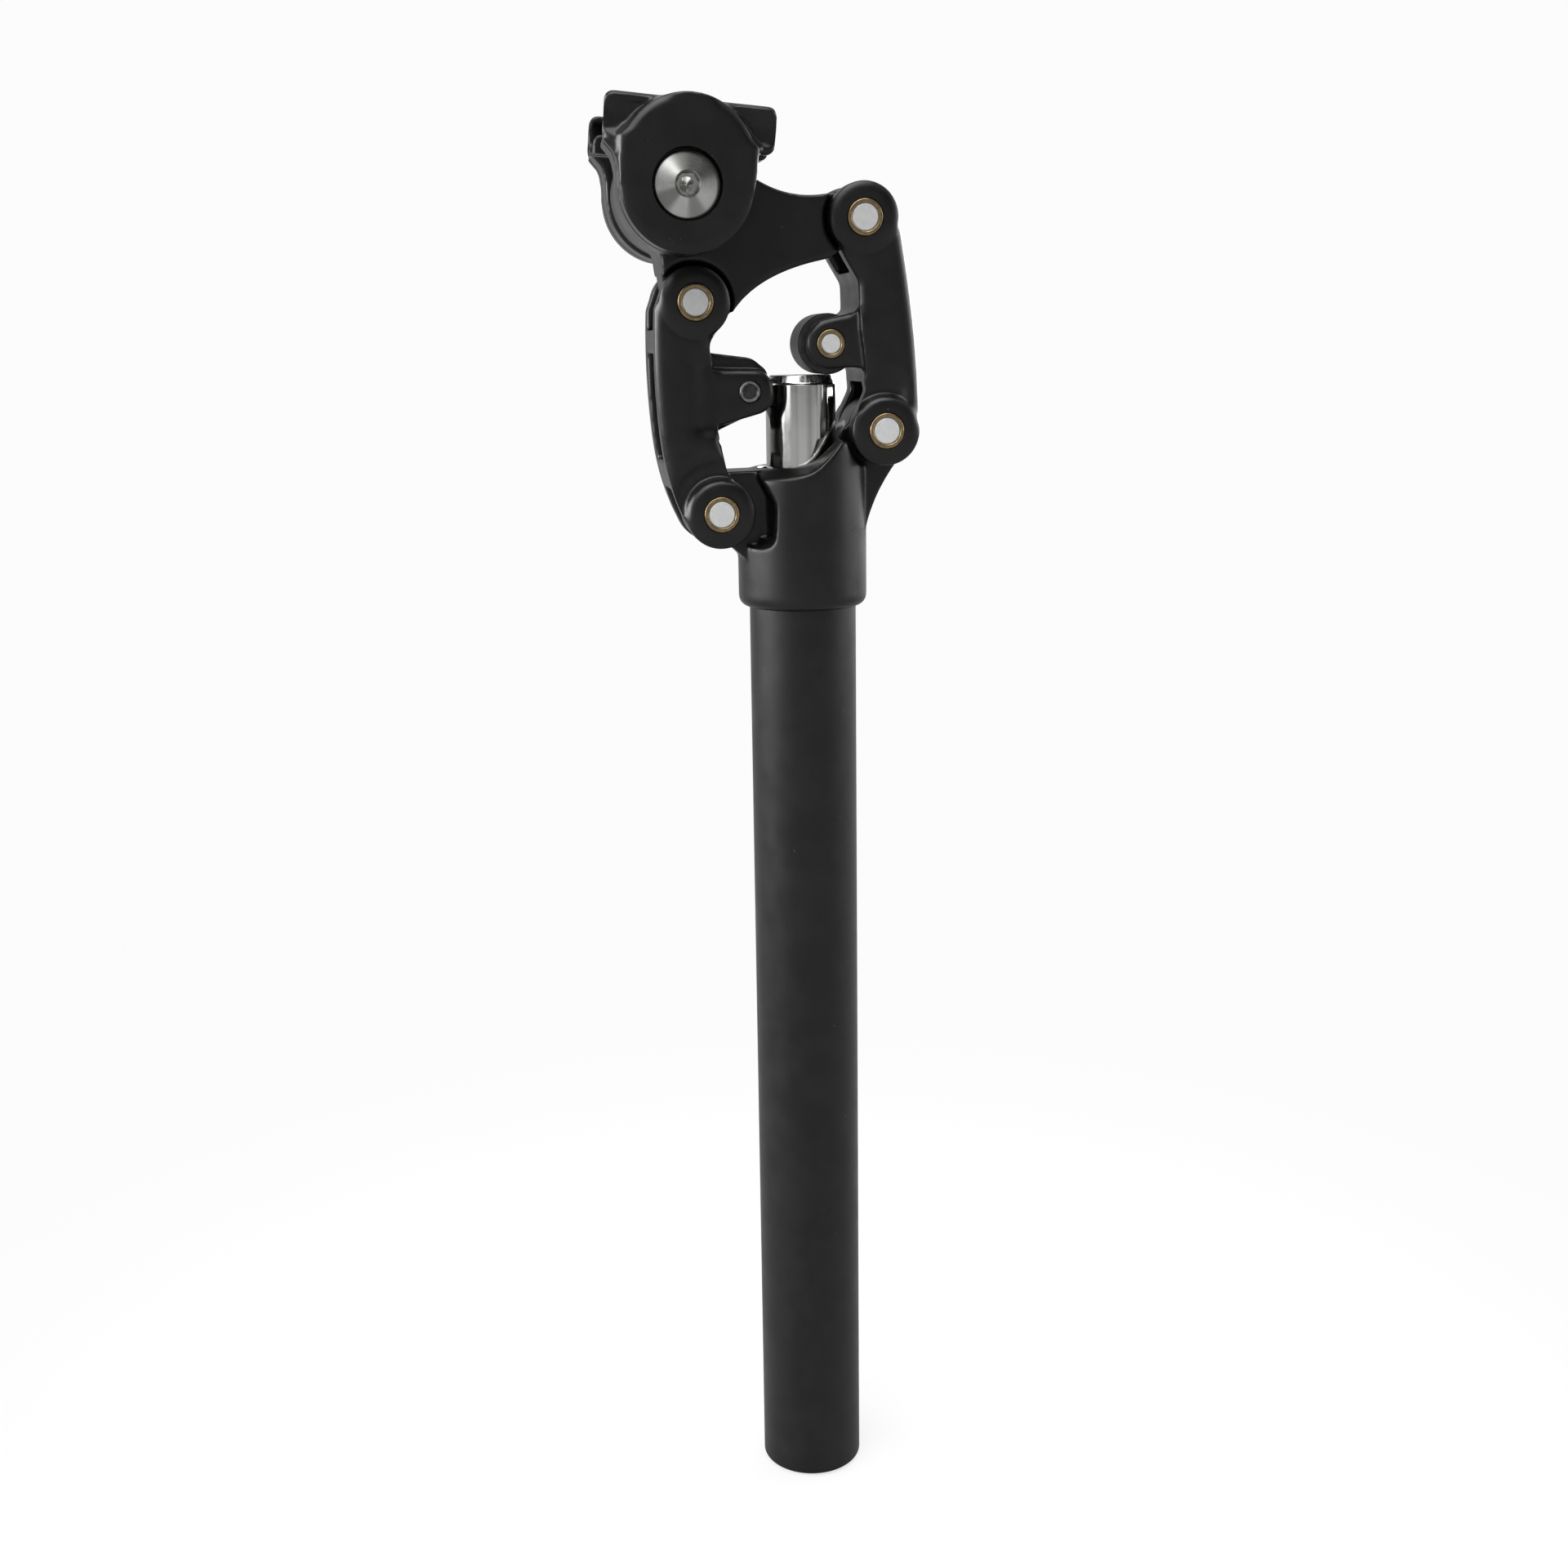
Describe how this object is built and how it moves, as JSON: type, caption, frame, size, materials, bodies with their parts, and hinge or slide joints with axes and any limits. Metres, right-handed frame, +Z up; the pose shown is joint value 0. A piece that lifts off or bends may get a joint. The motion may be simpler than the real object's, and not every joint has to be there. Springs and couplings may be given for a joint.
{
  "type": "suspension seatpost",
  "caption": "Parallelogram suspension seatpost: two forged links carry a side-clamp saddle head, and a roller presses a sprung chrome plunger into the seat tube.",
  "frame": {"origin": "centre of the seat tube at its lower end", "axes": "+Z up along the seat tube, +X towards the front of the bicycle, +Y to its left side"},
  "size_m": [0.0768, 0.0582, 0.3648],
  "materials": {
    "black_paint": "satin, fine blasted texture",
    "tube_paint": "satin, fine grain",
    "brass": "machined",
    "pin_steel": "ground flat ends",
    "bolt_steel": "turned cone",
    "dark_steel": "staked pin",
    "spring_steel": "oiled wire",
    "chrome": "mirror",
    "bronze_polymer": "moulded",
    "black_plastic": "moulded",
    "white_plastic": "moulded",
    "rubber": "matt",
    "elastomer": "cast"
  },
  "bodies": {
    "post": {"seat_tube": "tube_paint", "lower_body": "black_paint", "guide_bush": "bronze_polymer", "wiper_seal": "rubber", "spring_spacer": "black_plastic", "spring_washer": "dark_steel", "elastomer_core": "elastomer", "lower_pivot_pins": "pin_steel"},
    "preload_screw": {"preload_plug": "black_plastic"},
    "plunger": {"plunger": "chrome", "spring_cap": "white_plastic", "coil_spring": "spring_steel"},
    "front_link": {"front_link": "black_paint", "front_link_bushes": "brass", "front_link_washers": "white_plastic", "roller_bushes": "brass"},
    "roller": {"roller": "black_plastic", "roller_axle": "pin_steel"},
    "rear_link": {"rear_link": "black_paint", "rear_link_bushes": "brass", "rear_link_washers": "white_plastic", "rebound_bumper": "rubber", "bumper_pin": "dark_steel"},
    "head": {"head_yoke": "black_paint", "upper_pivot_pins": "pin_steel"},
    "saddle_clamp": {"inner_clamp_near": "black_paint", "inner_clamp_far": "black_paint", "outer_clamp_near": "black_paint", "outer_clamp_far": "black_paint", "clamp_nut": "bolt_steel"},
    "clamp_screw": {"clamp_bolt": "bolt_steel", "bolt_washer": "dark_steel"}
  },
  "joints": [
    {"name": "suspension_fold", "type": "hinge", "parent": "post", "child": "front_link", "pos_m": [0.01905, 0, 0.2879], "axis": [0, -1, 0], "range_deg": [0, 45], "stiffness_Nm_per_rad": 30, "springref_deg": -34.38},
    {"name": "rear_link_fold", "type": "hinge", "parent": "post", "child": "rear_link", "pos_m": [-0.02225, 0, 0.2686], "axis": [0, -1, 0], "range_deg": [0, 45]},
    {"name": "head_level", "type": "hinge", "parent": "front_link", "child": "head", "pos_m": [0.01376, 0, 0.33822], "axis": [0, -1, 0], "range_deg": [-45, 0]},
    {"name": "plunger_slide", "type": "slide", "parent": "post", "child": "plunger", "axis": [0, 0, -1], "range_m": [0, 0.0155], "deforming": ["coil_spring"]},
    {"name": "roller_spin", "type": "hinge", "parent": "front_link", "child": "roller", "pos_m": [0.0058, 0, 0.3089], "axis": [0, 1, 0], "continuous": true},
    {"name": "saddle_tilt", "type": "hinge", "parent": "head", "child": "saddle_clamp", "pos_m": [-0.0305, 0, 0.3445], "axis": [0, 1, 0], "range_deg": [-25, 20]},
    {"name": "clamp_bolt_turn", "type": "hinge", "parent": "saddle_clamp", "child": "clamp_screw", "pos_m": [-0.0305, -0.029, 0.3445], "axis": [0, 1, 0], "continuous": true},
    {"name": "preload_turn", "type": "hinge", "parent": "post", "child": "preload_screw", "pos_m": [0, 0, 0.003], "axis": [0, 0, 1], "continuous": true}
  ],
  "couplings": [
    {"joint": "rear_link_fold", "follows": "suspension_fold", "ratio": 1},
    {"joint": "head_level", "follows": "suspension_fold", "ratio": -1},
    {"joint": "plunger_slide", "follows": "suspension_fold", "m_per_rad": 0.019735}
  ]
}
